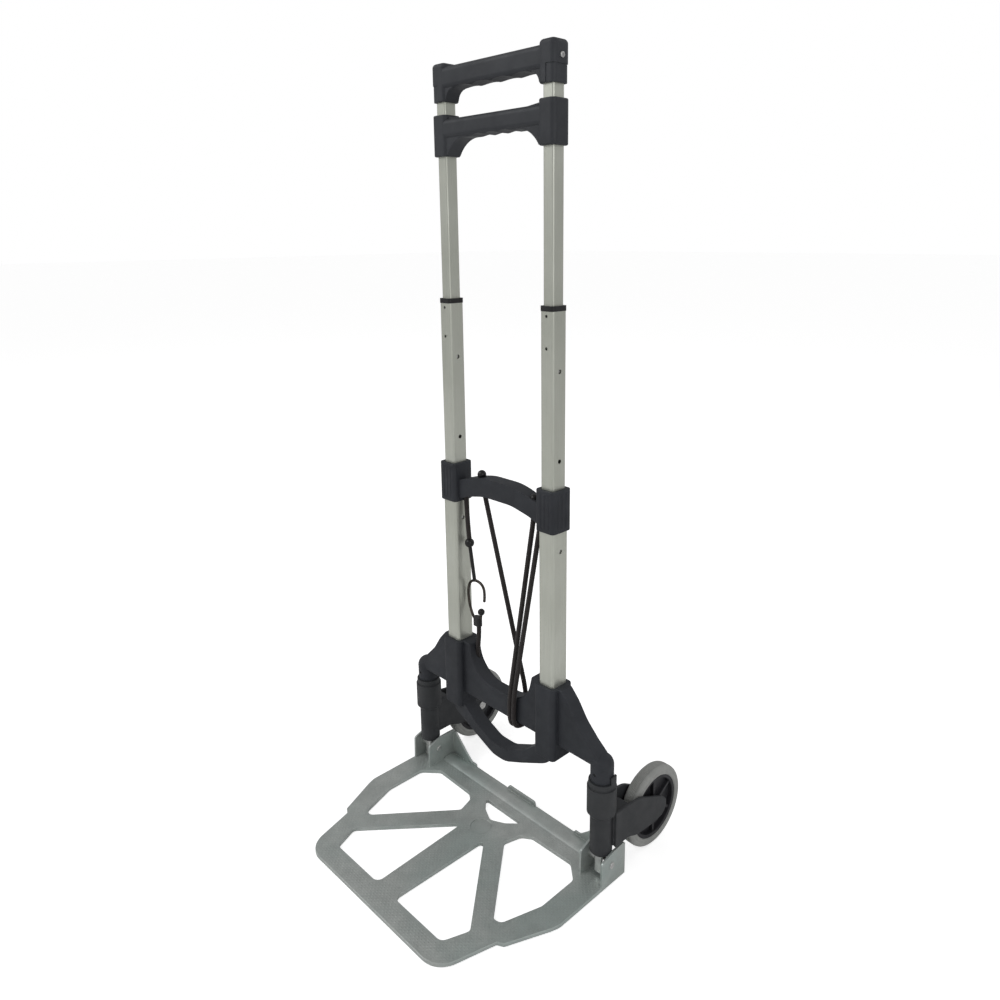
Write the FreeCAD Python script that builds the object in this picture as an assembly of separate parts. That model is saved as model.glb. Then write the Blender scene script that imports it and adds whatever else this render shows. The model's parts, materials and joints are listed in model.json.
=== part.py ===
import FreeCAD, Part
import math
import os
from FreeCAD import Placement, Rotation, Vector

# Folding luggage cart, in millimetres. +Z is up, the toe plate points to -Y, and the
# origin is on the floor at the middle of the space that the open cart takes up.

# ---- driving dimensions ----------------------------------------------------------
TUBE_X = 89.0            # half the spacing of the two telescopic legs
TUBE_Y = 40.5            # the plane of the legs
GRIP_TOP = 986.5         # top of the pulling handle with the cart open

# telescopic stages: width (X), depth (Y), wall, corner radius, lowest and highest point
OUTER = (24.8, 27.4, 1.1, 4.4, 152.0, 493.0)
MIDDLE = (20.2, 23.4, 0.9, 3.6, 395.0, 707.0)
UPPER = (15.8, 18.4, 0.9, 2.8, 600.0, 948.0)
INNER = (13.2, 15.8, 0.9, 2.3, 690.0, 982.0)
SLIDE_GAP = 0.35         # clearance of a sliding tube in its guide

HINGE_Z = 27.0           # toe plate hinge
POST_X = 169.5           # upright pivot of a wheel bracket
POST_Y = TUBE_Y + 2.0
POST_R = 6.0
PIN_Z = 153.0            # cross pin that holds the post in the housing
RUNNING = 0.05           # radial clearance of a pin that turns

WHEEL_R = 55.0
WHEEL_WIDTH = 20.0
WHEEL_X = 173.0
WHEEL_Y = TUBE_Y + 98.0
RIM_R = 43.0
AXLE_R = 4.0

PLATE_THICK = 5.0
PLATE_FRONT = -193.5
PLATE_HALF = 187.5
EAR = 3.0                # thickness of the ears that carry the hinge

# plastic sleeves round the legs: width, depth
SOCKET = (34.6, 36.8)
CLAMP = (30.4, 32.8)
LOWER_SLEEVE = (24.6, 27.2)
TOP_SLEEVE = (23.8, 26.4)
SOCKET_TOP = 240.0
BRACE_LOW, BRACE_HIGH = 443.0, 495.5
COLLAR_LOW, COLLAR_HIGH = 704.5, 710.5
LOWER_GRIP_LOW, LOWER_GRIP_HIGH = 881.0, 928.5
TOP_GRIP_LOW = 943.0
TOP_GRIP_DROP = 13.5     # how far the top handle still slides down from here

# screws through the sleeves into the tubes
SCREW_R = 1.55
SCREW_HOLE_R = 1.6
SOCKET_SCREW_Z = 214.0
BRACE_SCREW_Z = 469.0
LOWER_GRIP_SCREW_Z = 905.0
TOP_GRIP_SCREW_Z = 970.0

# snap buttons and the holes of the legs
BUTTON_R = 2.4
BUTTON_HOLE_R = 2.6
LOWER_BUTTON_Z = 418.0
UPPER_BUTTON_Z = 636.0
SPARE_HOLE_Z = 530.0
FRONT_HOLES_Z = (699.0, 662.5)
BUTTON_TRAVEL = 3.0

CORD_R = 3.3
# knots on top of the brace, and a point below it that each cord's hole is aimed at:
# x, y from the plane of the legs, z
KNOT_R = 5.8
KNOTS = ((-38.5, 1, 486), (59, -1.5, 476))
KNOT_HOLES = ((-30, 2.5, 440), (57.2, -2.6, 440))
# routes of the cords: x, y from the plane of the legs, z
LOOP_ROUTE = [(-38.5, 1, 481.5), (-35.6, 1.2, 466), (25.5, 14.2, 198), (26.5, 15.4, 166), (26.5, 10.2, 153.2),
              (25, -9.2, 153.2), (24.5, -14.8, 166), (25, -14.2, 198), (58.4, -1.8, 452), (59, -1.5, 471.5)]
STAY_ROUTE = [(73, -6, 446), (32.5, -14.2, 200), (31.5, -14.8, 166), (31.5, -9.2, 153.2),
              (33.4, 10.2, 153.2), (33.9, 15.4, 166), (33.9, 14.4, 178)]
HOOK_CORD_ROUTE = [(-71, 1, 449.5), (-69, 1, 410), (-66.5, 1, 390)]
TAIL_CORD_ROUTE = [(-52, 2, 266.5), (-52.3, 2.4, 254), (-55.5, 3.2, 236), (-57.5, 3.5, 216)]
WIRE_ROUTE = [(-46.5, 2, 288), (-47.5, 2, 275), (-56.5, 2, 270.5), (-66.5, 2, 281), (-73.2, 2, 306),
              (-70, 2, 325.5), (-57, 2, 333), (-42, 2, 329.5), (-38.3, 2, 317), (-40, 2, 305)]
WIRE_R = 1.9


# ---- helpers ---------------------------------------------------------------------
def rounded_wire(points, radii):
    """A closed outline in the XY plane with every corner rounded by its own radius."""
    corners = [Vector(x, y, 0) for x, y in points]
    if not isinstance(radii, (list, tuple)):
        radii = [radii] * len(corners)
    starts, middles, ends = [], [], []
    for i, corner in enumerate(corners):
        back = (corners[i - 1] - corner).normalize()
        ahead = (corners[(i + 1) % len(corners)] - corner).normalize()
        half = back.getAngle(ahead) / 2
        reach = radii[i] / math.tan(half)
        inward = (back + ahead).normalize()
        starts.append(corner + back * reach)
        middles.append(corner + inward * (radii[i] / math.sin(half) - radii[i]))
        ends.append(corner + ahead * reach)
    edges = []
    for i in range(len(corners)):
        if radii[i] > 0:
            edges.append(Part.Arc(starts[i], middles[i], ends[i]).toShape())
        following = starts[(i + 1) % len(corners)]
        if (following - ends[i]).Length > 1e-5:
            edges.append(Part.LineSegment(ends[i], following).toShape())
    return Part.Wire(edges)


def slab(plane, points, radii, low, high):
    """An outline drawn in the xy, xz or yz plane and thickened from low to high."""
    solid = Part.Face(rounded_wire(points, radii))
    if plane == "xz":
        solid = solid.extrude(Vector(0, 0, low - high))
        solid.Placement = Placement(Vector(0, low, 0), Rotation(Vector(1, 0, 0), 90))
        return solid
    solid = solid.extrude(Vector(0, 0, high - low))
    if plane == "yz":
        solid.Placement = Placement(Vector(low, 0, 0), Rotation(Vector(1, 1, 1), 120))
    else:
        solid.Placement = Placement(Vector(0, 0, low), Rotation())
    return solid


def rims(solid, axis, tolerance=1e-3):
    """The edges of a slab that lie in its two flat ends."""
    box = solid.BoundBox
    low, high = {"x": (box.XMin, box.XMax), "y": (box.YMin, box.YMax), "z": (box.ZMin, box.ZMax)}[axis]
    found = []
    for edge in solid.Edges:
        spread = edge.BoundBox
        first, last = {"x": (spread.XMin, spread.XMax), "y": (spread.YMin, spread.YMax),
                       "z": (spread.ZMin, spread.ZMax)}[axis]
        flat = abs(first - last) < tolerance
        if flat and (abs(first - low) < tolerance or abs(first - high) < tolerance):
            found.append(edge)
    return found


def soft_slab(plane, points, radii, low, high, fillet):
    """A slab whose two flat ends have rounded rims."""
    solid = slab(plane, points, radii, low, high)
    axis = {"xy": "z", "xz": "y", "yz": "x"}[plane]
    return solid.makeFillet(fillet, rims(solid, axis))


def box(x0, x1, y0, y1, z0, z1):
    return Part.makeBox(x1 - x0, y1 - y0, z1 - z0, Vector(x0, y0, z0))


def column(x, y, width, depth, corner, low, high):
    """An upright post with a rounded rectangular section."""
    w, d = width / 2, depth / 2
    points = [(x - w, y - d), (x + w, y - d), (x + w, y + d), (x - w, y + d)]
    return slab("xy", points, corner, low, high)


def rod(radius, start, end):
    start, end = Vector(*start), Vector(*end)
    return Part.makeCylinder(radius, (end - start).Length, start, end - start)


def ring(outer, inner, start, end):
    return rod(outer, start, end).cut(rod(inner, start, end))


def mirrored(solid):
    return solid.mirror(Vector(0, 0, 0), Vector(1, 0, 0))


def both(solid):
    return [solid, mirrored(solid)]


def joined(solids):
    return solids[0].fuse(solids[1:]).removeSplitter()


def save(name, shape):
    shape.exportStep("parts/" + name + ".step")
    solids = shape.Solids
    volume = sum(piece.Volume for piece in solids)
    box_ = shape.BoundBox
    print(f"{name:24s} solids {len(solids)} valid {shape.isValid()} volume {volume:10.1f}"
          f" x {box_.XMin:7.1f} {box_.XMax:7.1f} y {box_.YMin:7.1f} {box_.YMax:7.1f}"
          f" z {box_.ZMin:7.1f} {box_.ZMax:7.1f}")


def save_pair(name, right):
    """A right-hand part, and its mirror image on the left."""
    save(name + "_right", right)
    save(name + "_left", mirrored(right))


# ---- telescopic legs -------------------------------------------------------------
def stage_tube(stage):
    width, depth, wall, corner, low, high = stage
    outside = column(TUBE_X, TUBE_Y, width, depth, corner, low, high)
    inside = column(TUBE_X, TUBE_Y, width - 2 * wall, depth - 2 * wall, corner - wall / 2, low, high)
    return outside.cut(inside)


def cross_hole(radius, height, x0, x1):
    """A hole that runs sideways through the right leg at a height."""
    return rod(radius, (x0, TUBE_Y, height), (x1, TUBE_Y, height))


def guide_collar(stage, inner_stage, low, high, skirt):
    """The plastic cap on a tube's mouth that guides the next tube."""
    width, depth, wall, corner = stage[:4]
    head = column(TUBE_X, TUBE_Y, width + 1.2, depth + 1.2, corner + 0.6, low, high)
    ring_part = column(TUBE_X, TUBE_Y, width - 2 * wall, depth - 2 * wall, corner - wall / 2,
                       stage[5] - skirt, stage[5])
    pocket = column(TUBE_X, TUBE_Y, width, depth, corner, low - 1, stage[5])
    passage = column(TUBE_X, TUBE_Y, inner_stage[0] + 2 * SLIDE_GAP, inner_stage[1] + 2 * SLIDE_GAP,
                     inner_stage[3], low - skirt - 5, high + 1)
    return joined([head.cut(pocket), ring_part]).cut(passage)


def lower_glide(stage, outer_stage, length):
    """The plastic shoe round a tube's lower end that runs inside the tube below."""
    width, depth, wall, corner = outer_stage[:4]
    play = 2 * (wall + SLIDE_GAP)
    outside = column(TUBE_X, TUBE_Y, width - play, depth - play, corner - wall, stage[4], stage[4] + length)
    inside = column(TUBE_X, TUBE_Y, stage[0], stage[1], stage[3], stage[4], stage[4] + length)
    return outside.cut(inside)


def bent_rod(points, radius, report):
    """A round rod along straight runs joined by tangent arcs, each as large as its two runs allow."""
    knots = [Vector(*point) for point in points]
    edges, radii, here = [], [], knots[0]
    for i in range(1, len(knots) - 1):
        before = knots[i - 1] - knots[i]
        after = knots[i + 1] - knots[i]
        turn = math.pi - before.getAngle(after)
        bend = 0.45 * min(before.Length, after.Length) / math.tan(turn / 2)
        reach = bend * math.tan(turn / 2)
        first = knots[i] + Vector(before).normalize() * reach
        last = knots[i] + Vector(after).normalize() * reach
        inward = (Vector(before).normalize() + Vector(after).normalize()).normalize()
        middle = knots[i] + inward * (bend / math.cos(turn / 2) - bend)
        edges.append(Part.LineSegment(here, first).toShape())
        edges.append(Part.Arc(first, middle, last).toShape())
        radii.append(round(bend, 1))
        here = last
    edges.append(Part.LineSegment(here, knots[-1]).toShape())
    path = Part.Wire(edges)
    circle = Part.makeCircle(radius, knots[0], knots[1] - knots[0])
    solid = path.makePipeShell([Part.Wire([circle])], True, True, 1)
    ratio = solid.Volume / (math.pi * radius ** 2 * path.Length)
    print(f"{report}: length {path.Length:.1f}, volume ratio {ratio:.4f}, radii {radii}")
    return solid


# ---- handles ---------------------------------------------------------------------
def beam_along_x(half_length, y, depth, low, high, corner):
    """A straight bar across the cart with a rounded section."""
    d = depth / 2
    points = [(y - d, low), (y + d, low), (y + d, high), (y - d, high)]
    return slab("yz", points, corner, -half_length, half_length)


def finger_scallops(pitch, count, height, depth, reach):
    """Cylinders that cut a row of finger grooves into a bar's underside."""
    radius = (pitch / 2) ** 2 / (2 * depth) + depth / 2
    cutters = []
    for i in range(count):
        x = (i - (count - 1) / 2) * pitch
        centre = height + depth - radius
        cutters.append(rod(radius, (x, TUBE_Y - reach, centre), (x, TUBE_Y + reach, centre)))
    return cutters


def corner_web(inner, height, drop, run, depth):
    """The curved web between the right sleeve and the underside of the bar."""
    arc_middle = Vector(inner - run * 0.36, 0, height - drop * 0.30)
    start, end = Vector(inner - run, 0, height), Vector(inner, 0, height - drop)
    heel = [Vector(inner + 3, 0, height - drop), Vector(inner + 3, 0, height + 4),
            Vector(inner - run, 0, height + 4)]
    edges = [Part.Arc(start, arc_middle, end).toShape(), Part.LineSegment(end, heel[0]).toShape(),
             Part.LineSegment(heel[0], heel[1]).toShape(), Part.LineSegment(heel[1], heel[2]).toShape(),
             Part.LineSegment(heel[2], start).toShape()]
    web = Part.Face(Part.Wire(edges)).extrude(Vector(0, depth, 0))
    web.translate(Vector(0, TUBE_Y - depth / 2, 0))
    return web


def shoulder(inner, bar_high, high):
    """The short rise from the bar's top to the top of the right sleeve."""
    points = [(inner + 3, bar_high - 5), (inner + 3, high - 3), (inner - 1, high - 3),
              (inner - 24, bar_high - 0.5), (inner - 26, bar_high - 5)]
    return slab("xz", points, [0, 0, 5, 0, 0], TUBE_Y - 7.5, TUBE_Y + 7.5)


def handle(sleeve, low, high, bar_low, bar_high, scallops, web, crown, shoulders=()):
    """Two sleeves and the bar between them, all one moulding."""
    width, depth = sleeve
    post = column(TUBE_X, TUBE_Y, width, depth, 6.5, low, high)
    rim = rims(post, "z")
    post = post.makeFillet(1.6, [edge for edge in rim if edge.BoundBox.ZMax < high - 1])
    post = post.makeFillet(crown, [edge for edge in rims(post, "z") if edge.BoundBox.ZMin > high - 1])
    inner = TUBE_X - width / 2
    bar = beam_along_x(inner + 4, TUBE_Y, depth - 1.2, bar_low, bar_high, 6.5)
    pitch, count = scallops
    bar = bar.cut(finger_scallops(pitch, count, bar_low, 2.2, depth))
    gusset = corner_web(inner, bar_low + 0.6, *web, depth - 6)
    return joined([bar, *shoulders] + both(post) + both(gusset))


def sliding_fit(stage, low, high):
    """The room a tube needs to slide in a plastic part."""
    return column(TUBE_X, TUBE_Y, stage[0] + 2 * SLIDE_GAP, stage[1] + 2 * SLIDE_GAP, stage[3], low, high)


def make_top_grip():
    width, depth = TOP_SLEEVE
    body = handle(TOP_SLEEVE, TOP_GRIP_LOW, GRIP_TOP, 956.5, 982.0, (33.0, 4), (12.0, 12.0), 5.0)
    waist = column(TUBE_X, TUBE_Y, 40, 40, 2, TOP_GRIP_LOW - 1, 962)
    waist = waist.cut(column(TUBE_X, TUBE_Y, width - 1.6, depth - 1.6, 5.7, TOP_GRIP_LOW - 2, 963))
    trim = waist.common(box(TUBE_X, TUBE_X + 30, 0, 80, 900, 1000))
    pocket = column(TUBE_X, TUBE_Y, *INNER[:2], INNER[3], TOP_GRIP_LOW - 1, INNER[5])
    mouth = sliding_fit(UPPER, TOP_GRIP_LOW - 1, UPPER[5] + TOP_GRIP_DROP + 1)
    shank = rod(SCREW_HOLE_R, (TUBE_X + 4, TUBE_Y, TOP_GRIP_SCREW_Z), (TUBE_X + 20, TUBE_Y, TOP_GRIP_SCREW_Z))
    return body.cut(both(pocket) + both(mouth) + both(trim) + both(shank))


def make_lower_grip():
    shoulders = both(shoulder(TUBE_X - LOWER_SLEEVE[0] / 2, 923.5, LOWER_GRIP_HIGH))
    body = handle(LOWER_SLEEVE, LOWER_GRIP_LOW, LOWER_GRIP_HIGH, 900.5, 923.5, (22.0, 3), (19.0, 36.0), 1.8,
                  shoulders)
    pocket = column(TUBE_X, TUBE_Y, *UPPER[:2], UPPER[3], LOWER_GRIP_LOW - 1, LOWER_GRIP_HIGH + 1)
    shank = rod(SCREW_HOLE_R, (TUBE_X, TUBE_Y + 8.0, LOWER_GRIP_SCREW_Z), (TUBE_X, TUBE_Y + 20, LOWER_GRIP_SCREW_Z))
    return body.cut(both(pocket) + both(shank))


def pan_screw(head, tip, head_r=3.2, shank_r=SCREW_R, head_depth=1.6):
    """A small round-headed screw from its seat to its tip."""
    head, tip = Vector(*head), Vector(*tip)
    outward = (head - tip).normalize()
    cap = Part.makeCylinder(head_r, head_depth, head, outward)
    top = [edge for edge in cap.Edges if (edge.CenterOfMass - head - outward * head_depth).Length < 0.1]
    cap = cap.makeFillet(head_depth * 0.6, top)
    slot_low = head + outward * (head_depth * 0.55)
    across = outward.cross(Vector(0, 0, 1) if abs(outward.z) < 0.5 else Vector(0, 1, 0))
    for side in (across, outward.cross(across)):
        groove = Part.makeBox(0.5, head_r, 2)
        groove.translate(Vector(-0.25, -head_r / 2, 0))
        groove.Placement = Placement(slot_low, Rotation(side.cross(outward), side, outward)).multiply(
            groove.Placement)
        cap = cap.cut(groove)
    return cap.fuse(Part.makeCylinder(shank_r, (head - tip).Length, tip, outward)).removeSplitter()


# ---- middle brace ----------------------------------------------------------------
def brace_outline():
    """The arched front view of the bar between the two clamps."""
    under = [(-77, 446), (-56, 454), (-26, 460.5), (26, 460.5), (56, 454), (77, 446)]
    over = [(77, 472), (50, 480.5), (22, 485.5), (-22, 485.5), (-50, 480.5), (-77, 472)]
    return under + over, [0, 40, 80, 80, 40, 0, 0, 60, 100, 100, 60, 0]


def make_middle_brace():
    points, radii = brace_outline()
    bar = slab("xz", points, radii, TUBE_Y - 9, TUBE_Y + 14)
    plan = [(-78, TUBE_Y - 9), (78, TUBE_Y - 9), (78, TUBE_Y + 4), (38, TUBE_Y + 11),
            (-38, TUBE_Y + 11), (-78, TUBE_Y + 4)]
    bar = bar.common(slab("xy", plan, [0, 0, 0, 90, 90, 0], 430, 500))
    for (x, y, z), (foot_x, foot_y, foot_z) in zip(KNOTS, KNOT_HOLES):
        bar = bar.cut(rod(CORD_R + 0.9, (foot_x, TUBE_Y + foot_y, foot_z), (x, TUBE_Y + y, z)))
        bar = bar.cut(ball(KNOT_R, x, y, z))
    clamp = column(TUBE_X, TUBE_Y, *CLAMP, 5.4, BRACE_LOW, BRACE_HIGH)
    clamp = clamp.makeFillet(1.2, rims(clamp, "z"))
    pocket = column(TUBE_X, TUBE_Y, *OUTER[:2], OUTER[3], BRACE_LOW - 1, OUTER[5])
    mouth = sliding_fit(MIDDLE, OUTER[5] - 1, BRACE_HIGH + 1)
    ribs = [column(TUBE_X + side, TUBE_Y - CLAMP[1] / 2 + 0.7, 2.4, 2.8, 1.0, BRACE_LOW + 5, BRACE_HIGH - 5)
            for side in (-6.5, 0.0, 6.5)]
    ribs += [column(TUBE_X + CLAMP[0] / 2 - 0.7, TUBE_Y + side, 2.8, 2.4, 1.0, BRACE_LOW + 5, BRACE_HIGH - 5)
             for side in (-7.0, 0.0, 7.0)]
    body = [bar] + both(clamp)
    for rib in ribs:
        body += both(rib)
    shank = rod(SCREW_HOLE_R, (TUBE_X, TUBE_Y + 10, BRACE_SCREW_Z), (TUBE_X, TUBE_Y + 20, BRACE_SCREW_Z))
    return joined(body).cut(both(pocket) + both(mouth) + both(shank))


# ---- lower housing ---------------------------------------------------------------
def symmetric(half):
    """A closed outline from its right half, listed from top to bottom."""
    return half + [(-x, z) for x, z in reversed(half)]


def make_housing():
    crown = [(24, 193), (43, 202.5), (54.5, 217), (60, SOCKET_TOP), (112, SOCKET_TOP), (125, 226),
             (139, 205), (157, 187), (171, 175.5), (181, 161)]
    bends = [40, 40, 35, 5, 4, 40, 50, 30, 16, 0]
    outline = [(-x, z) for x, z in crown] + crown[::-1]
    arms = soft_slab("xz", outline, bends + bends[::-1], TUBE_Y - 9.5, TUBE_Y + 10.5, 2.0)

    side = TUBE_X + SOCKET[0] / 2
    near = TUBE_X - SOCKET[0] / 2
    outer = [(side, 172), (side - 0.4, 149), (89, 128), (45, 107), (12, 92.5)]
    inner = [(near, 172), (near, 147), (47, 127), (14, 112)]
    bow = slab("xz", symmetric(outer), [0, 26, 45, 60, 40] + [40, 60, 45, 26, 0], TUBE_Y - 13, TUBE_Y + 7)
    bow = bow.makeFillet(2.5, rims(bow, "y"))
    bow = bow.cut(slab("xz", symmetric(inner), [0, 8, 25, 30] + [30, 25, 8, 0], TUBE_Y - 20, TUBE_Y + 20))

    socket = column(TUBE_X, TUBE_Y, *SOCKET, 6.0, 140, SOCKET_TOP)
    socket = socket.makeFillet(1.5, rims(socket, "z"))
    boss = rod(14.5, (POST_X, POST_Y, 141.6), (POST_X, POST_Y, 175.5))
    boss = boss.makeFillet(13.0, [edge for edge in boss.Edges if edge.BoundBox.ZMin > 175])
    body = joined([arms, bow] + both(socket) + both(boss))

    pocket = column(TUBE_X, TUBE_Y, *OUTER[:2], OUTER[3], OUTER[4], SOCKET_TOP + 1)
    post_hole = rod(POST_R, (POST_X, POST_Y, 140), (POST_X, POST_Y, 170))
    pin_hole = rod(2.0, (POST_X, POST_Y - 20, PIN_Z), (POST_X, POST_Y + 20, PIN_Z))
    shank = rod(SCREW_HOLE_R, (TUBE_X, TUBE_Y + 11, SOCKET_SCREW_Z), (TUBE_X, TUBE_Y + 20, SOCKET_SCREW_Z))
    above, end = [Vector(x, TUBE_Y + y, z) for x, y, z in TAIL_CORD_ROUTE[-2:]]
    tail_hole = rod(CORD_R + 0.5, end, end + (above - end) * 1.5)
    return body.cut(both(pocket) + both(post_hole) + both(pin_hole) + both(shank) + [tail_hole])


def make_post():
    """The steel pivot: round where the bracket turns, square where the toe plate hinges."""
    upright = rod(POST_R, (POST_X, POST_Y, 30), (POST_X, POST_Y, 169.5))
    foot = column(POST_X, POST_Y, 12, 12, 2.0, 10, 37.4)
    eye = rod(3.0 + RUNNING, (POST_X - 10, POST_Y, HINGE_Z), (POST_X + 10, POST_Y, HINGE_Z))
    pin_hole = rod(2.0, (POST_X, POST_Y - 20, PIN_Z), (POST_X, POST_Y + 20, PIN_Z))
    return upright.fuse(foot).removeSplitter().cut([eye, pin_hole])


# ---- wheel bracket and wheel -----------------------------------------------------
BRACKET_LOW, BRACKET_HIGH = 38.0, 141.0
CHEEK = 4.0
CHEEK_GAP = 1.5


def cheek_outline(rise):
    """Side view of one fork arm, from the sleeve to the hub end."""
    y = TUBE_Y
    points = [(y + 8, 50), (y + 34, 50), (y + 50, 43), (y + 90, 39.5), (y + 113, 44),
              (y + 114, 62), (y + 104, 71), (y + 58, 93.5 + rise), (y + 40, 96.5 + rise),
              (y + 8, 98 + rise)]
    return points, [0, 20, 30, 30, 14, 12, 20, 40, 20, 0]


def make_bracket():
    low = rod(14.2, (POST_X, POST_Y, BRACKET_LOW), (POST_X, POST_Y, 98))
    low = low.makeFillet(4.0, [edge for edge in low.Edges if edge.BoundBox.ZMax < BRACKET_LOW + 1])
    cone = Part.makeCone(14.2, 18.4, 5, Vector(POST_X, POST_Y, 92))
    knuckle = rod(18.4, (POST_X, POST_Y, 97), (POST_X, POST_Y, 133))
    top = rod(16.8, (POST_X, POST_Y, 131), (POST_X, POST_Y, BRACKET_HIGH))
    stop = column(POST_X + 14.6, POST_Y + 3, 4.8, 10, 1.2, 128, 150.5)
    stop = stop.cut(rod(15.3, (POST_X, POST_Y, BRACKET_HIGH), (POST_X, POST_Y, 160)))
    half = WHEEL_WIDTH / 2 + CHEEK_GAP
    parts = [low, cone, knuckle, top, stop]
    for inside, rise in ((WHEEL_X + half, 0), (WHEEL_X - half - CHEEK, 6)):
        points, radii = cheek_outline(rise)
        parts.append(soft_slab("yz", points, radii, inside, inside + CHEEK, 1.0))
    parts.append(box(WHEEL_X - half - 1, WHEEL_X + half + 1, POST_Y + 4, TUBE_Y + 38, 52, 94))
    body = joined(parts)
    bore = rod(POST_R + RUNNING, (POST_X, POST_Y, 30), (POST_X, POST_Y, 160))
    axle_hole = rod(AXLE_R, (WHEEL_X - half - CHEEK - 1, WHEEL_Y, WHEEL_R),
                    (WHEEL_X + half + 2.4, WHEEL_Y, WHEEL_R))
    return body.cut([bore, axle_hole])


def make_axle():
    half = WHEEL_WIDTH / 2 + CHEEK_GAP
    inner = WHEEL_X - half - CHEEK
    head = rod(6.5, (inner - 1.8, WHEEL_Y, WHEEL_R), (inner, WHEEL_Y, WHEEL_R))
    head = head.makeFillet(1.0, [edge for edge in head.Edges if abs(edge.CenterOfMass.x - inner + 1.8) < 0.01])
    shaft = rod(AXLE_R, (inner, WHEEL_Y, WHEEL_R), (WHEEL_X + half + 2.4, WHEEL_Y, WHEEL_R))
    return head.fuse(shaft).removeSplitter()


def make_washers():
    half = WHEEL_WIDTH / 2 + CHEEK_GAP
    thick = CHEEK_GAP - 0.4
    rings = [ring(8.0, AXLE_R, (x, WHEEL_Y, WHEEL_R), (x + thick, WHEEL_Y, WHEEL_R))
             for x in (WHEEL_X - half, WHEEL_X + half - thick)]
    return Part.makeCompound(rings)


def turned(points, radii):
    """A wheel part from its section, given as (distance across, radius) pairs."""
    section = rounded_wire(points, radii)
    section.Placement = Placement(Vector(WHEEL_X, WHEEL_Y, WHEEL_R), Rotation(Vector(0, 0, 1), 0))
    return Part.Face(section).revolve(Vector(WHEEL_X, WHEEL_Y, WHEEL_R), Vector(1, 0, 0), 360)


def make_tyre():
    w = WHEEL_WIDTH / 2
    points = [(-w, RIM_R), (-w, 50), (-w + 3.5, WHEEL_R), (w - 3.5, WHEEL_R), (w, 50), (w, RIM_R)]
    return turned(points, [1.0, 5.0, 4.0, 4.0, 5.0, 1.0])


def make_wheel_hub():
    rim = turned([(-8.5, 38.5), (-8.5, RIM_R), (8.5, RIM_R), (8.5, 38.5)], [0.8, 0, 0, 0.8])
    web = turned([(-1.5, 9), (-1.5, 40), (1.5, 40), (1.5, 9)], 0)
    boss = ring(11.0, AXLE_R + RUNNING, (WHEEL_X - 10, WHEEL_Y, WHEEL_R), (WHEEL_X + 10, WHEEL_Y, WHEEL_R))
    spokes = []
    for i in range(6):
        spoke = box(WHEEL_X - 6.5, WHEEL_X + 6.5, WHEEL_Y - 1.8, WHEEL_Y + 1.8, WHEEL_R + 9, WHEEL_R + 40)
        spoke.rotate(Vector(WHEEL_X, WHEEL_Y, WHEEL_R), Vector(1, 0, 0), 60 * i)
        spokes.append(spoke)
    return joined([rim, web, boss] + spokes)


# ---- toe plate -------------------------------------------------------------------
def window(points, radii, mirror=False):
    points = [(x, TUBE_Y + y) for x, y in points]
    hole = slab("xy", points, radii, -1, PLATE_THICK + 1)
    return mirrored(hole) if mirror else hole


def make_toe_plate():
    y = TUBE_Y
    half = [(150, y + 34), (PLATE_HALF, y + 28), (PLATE_HALF, y - 93), (184, y - 104), (160.5, y - 157.5),
            (152.5, y - 161.5), (132, PLATE_FRONT)]
    bends = [6, 3, 20, 20, 2, 2, 32]
    blank = soft_slab("xy", symmetric(half), bends + bends[::-1], 0, PLATE_THICK, 0.8)

    side = [(44, -46), (51, -22), (64, -13), (131, -11), (153.5, -31), (154, -88), (137, -140), (126, -142)]
    front = [(22, -62), (17.5, -206), (107, -206), (120, -173)]
    middle = [(-37, -5), (37, -5), (20, -21), (0, -31), (-20, -21)]
    holes = []
    for mirror in (False, True):
        holes.append(window(side, [6, 11, 9, 8, 11, 18, 9, 7], mirror))
        holes.append(window(front, [4, 9, 10, 6], mirror))
    holes.append(window(middle, [2.5, 2.5, 10, 8, 10]))
    dish = rod(15.0, (0, y - 48, PLATE_THICK - 1.6), (0, y - 48, PLATE_THICK + 1))
    ridge = rod(22.0, (-149.5, y + 20, PLATE_THICK - 18.8), (149.5, y + 20, PLATE_THICK - 18.8))
    ridge = ridge.common(box(-150, 150, y, y + 40, 1, 20))

    ear = [(y - 17, 0.5), (y + 28, 0.5), (y + 28, 46.5), (y + 6, 45), (y - 16, 38)]
    ear_outer = slab("yz", ear, [0, 0, 3, 12, 4], PLATE_HALF - EAR, PLATE_HALF)
    ear_inner = slab("yz", [ear[0]] + [(y + 34, 0.5), (y + 34, 45)] + ear[3:], [0, 0, 3, 12, 4], 153 - EAR, 153)
    flange = slab("xz", [(99, 0.5), (152, 0.5), (152, 43), (145, 43), (121, 19), (109, 9), (99, 9)],
                  [0, 0, 0, 4, 12, 6, 2], y + 31, y + 34)
    tab = slab("xz", [(-30, 0.5), (26, 0.5), (24, 11.5), (-28, 11.5)], [0, 0, 3, 3], y + 31, y + 34)
    uprights = both(ear_outer) + both(ear_inner) + both(flange) + [tab, ridge]
    eye = rod(3.0, (POST_X - 30, POST_Y, HINGE_Z), (POST_X + 30, POST_Y, HINGE_Z))
    return joined([blank.cut(holes)] + uprights).cut([dish] + both(eye))


def make_hinge_rivet():
    shank = rod(3.0, (153 - EAR, POST_Y, HINGE_Z), (PLATE_HALF, POST_Y, HINGE_Z))
    parts = [shank]
    for face, outward in ((153.0 - EAR, -1), (PLATE_HALF, 1)):
        head = rod(4.2, (face, POST_Y, HINGE_Z), (face + 1.4 * outward, POST_Y, HINGE_Z))
        rim = [edge for edge in head.Edges if abs(edge.CenterOfMass.x - face - 1.4 * outward) < 0.01]
        parts.append(head.makeFillet(1.1, rim))
    return joined(parts)


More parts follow.
